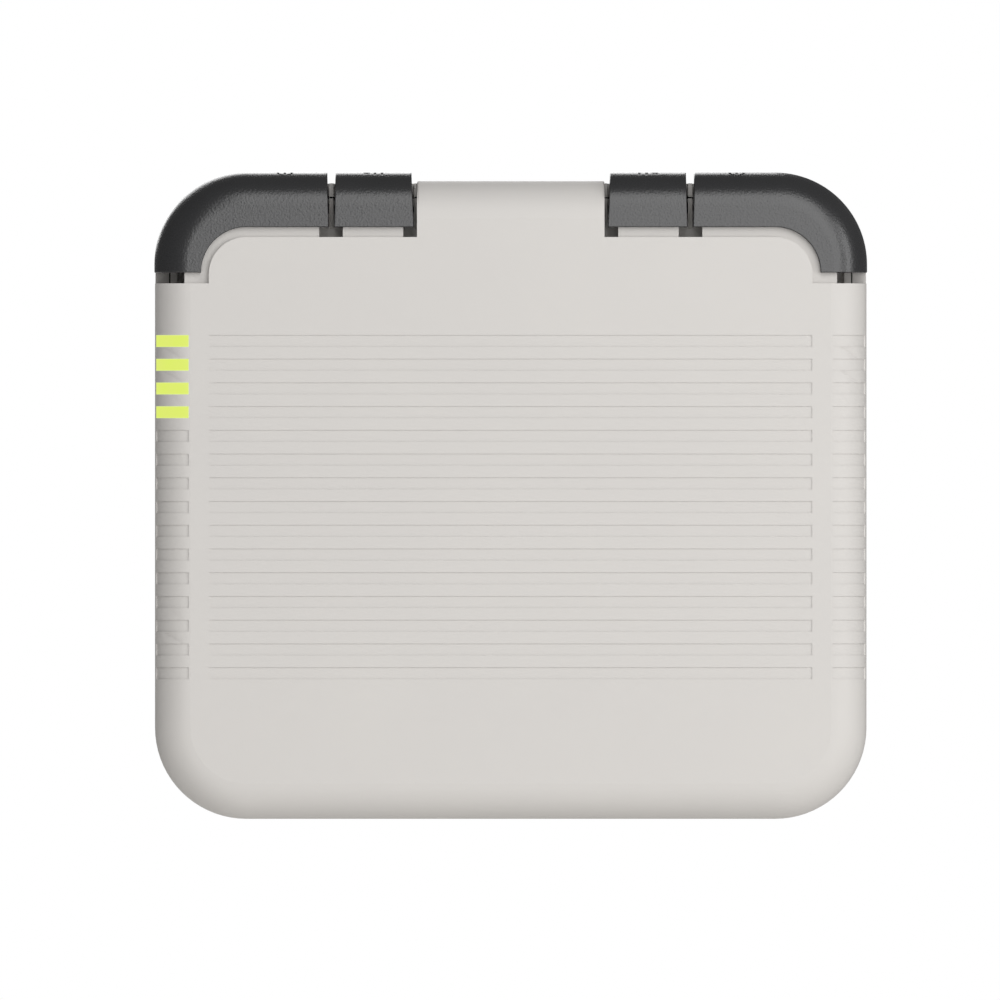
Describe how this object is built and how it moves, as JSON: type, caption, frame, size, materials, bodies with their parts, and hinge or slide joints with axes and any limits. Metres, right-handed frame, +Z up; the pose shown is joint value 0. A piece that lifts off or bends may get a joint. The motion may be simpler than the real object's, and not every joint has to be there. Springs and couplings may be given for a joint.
{
  "type": "wall battery unit",
  "caption": "Wall-hung home battery with a two-part moulded case, four hinged corner caps over its connection bays and a lit charge indicator.",
  "frame": {"origin": "centre of the wall bracket's four slots, on the wall's surface", "axes": "+Z up, the front faces -Y, +X to the right seen from the front"},
  "size_m": [0.601, 0.19, 0.545],
  "materials": {
    "housing_plastic": "fine moulded texture, warm light grey",
    "cap_plastic": "leather-grained moulding, near black",
    "black_rubber": "matt",
    "lit_window": "lit lime diffuser",
    "led_chip": "chip LED",
    "board_green": "solder mask",
    "steel": "zinc plated",
    "zinc_steel": "galvanised sheet",
    "bracket_paint": "black powder coat",
    "panel_plastic": "fine texture, dark grey",
    "dc_orange": "orange connector plastic",
    "socket_black": "connector plastic",
    "brass": "machined",
    "copper": "tin-free copper bar",
    "cell_wrap": "blue film over an aluminium can",
    "insulation": "insulating sheet",
    "aluminium": "milled",
    "component_black": "moulded component body",
    "fuse_ceramic": "fuse ceramic",
    "lead_orange": "silicone insulated lead",
    "button_grey": "soft-touch cap",
    "lever_red": "moulded lever"
  },
  "bodies": {
    "unit": {"bay_panels": "panel_plastic", "bms_board": "board_green", "bms_components": "component_black", "bms_heat_sink": "aluminium", "breaker_body": "socket_black", "breaker_pin": "steel", "busbar_cover": "insulation", "button_housing": "panel_plastic", "button_spring": "steel", "cable_grommets": "black_rubber", "cap_hinge_pins": "steel", "cell_busbars": "copper", "cell_spacers": "insulation", "cell_terminals": "aluminium", "cells_lower_row": "cell_wrap", "cells_upper_row": "cell_wrap", "charge_windows": "lit_window", "contactor": "component_black", "current_shunt": "copper", "data_sockets": "panel_plastic", "dc_leads": "lead_orange", "dc_sockets": "dc_orange", "earth_nut": "brass", "earth_stud": "steel", "electronics_tray": "zinc_steel", "end_plates": "aluminium", "front_housing": "housing_plastic", "grid_sockets": "socket_black", "hanger_rail": "bracket_paint", "hanger_screws": "steel", "heat_spreader": "aluminium", "housing_gasket": "black_rubber", "housing_screws": "steel", "led_board": "board_green", "led_chips": "led_chip", "locking_screws": "steel", "main_fuse": "fuse_ceramic", "pack_brackets": "zinc_steel", "power_bars": "copper", "pressure_vent": "socket_black", "rear_housing": "housing_plastic", "socket_contacts": "brass", "standoffs": "brass", "terminal_nuts": "brass", "thermal_pad": "insulation", "tie_rods": "steel", "wall_bracket": "bracket_paint", "wall_bumpers": "black_rubber"},
    "cap_left_corner": {"cap_left_corner": "cap_plastic", "cap_seal_left_corner": "black_rubber"},
    "cap_left_inner": {"cap_left_inner": "cap_plastic", "cap_seal_left_inner": "black_rubber"},
    "cap_right_inner": {"cap_right_inner": "cap_plastic", "cap_seal_right_inner": "black_rubber"},
    "cap_right_corner": {"cap_right_corner": "cap_plastic", "cap_seal_right_corner": "black_rubber"},
    "power_button": {"power_button": "button_grey"},
    "breaker_lever": {"breaker_lever": "lever_red"}
  },
  "joints": [
    {"name": "cap_left_corner_hinge", "type": "hinge", "parent": "unit", "child": "cap_left_corner", "pos_m": [0, -0.104, 0.1545], "axis": [-1, 0, 0], "range_deg": [0, 95]},
    {"name": "cap_left_inner_hinge", "type": "hinge", "parent": "unit", "child": "cap_left_inner", "pos_m": [0, -0.104, 0.1545], "axis": [-1, 0, 0], "range_deg": [0, 95]},
    {"name": "cap_right_inner_hinge", "type": "hinge", "parent": "unit", "child": "cap_right_inner", "pos_m": [0, -0.104, 0.1545], "axis": [-1, 0, 0], "range_deg": [0, 95]},
    {"name": "cap_right_corner_hinge", "type": "hinge", "parent": "unit", "child": "cap_right_corner", "pos_m": [0, -0.104, 0.1545], "axis": [-1, 0, 0], "range_deg": [0, 95]},
    {"name": "power_button_press", "type": "slide", "parent": "unit", "child": "power_button", "axis": [0, 0, -1], "range_m": [0, 0.0025], "stiffness_N_per_m": 400, "springref_m": -0.0005, "deforming": ["button_spring"]},
    {"name": "breaker_lever_throw", "type": "hinge", "parent": "unit", "child": "breaker_lever", "pos_m": [0, -0.147, 0.089], "axis": [-1, 0, 0], "range_deg": [0, 50]}
  ]
}
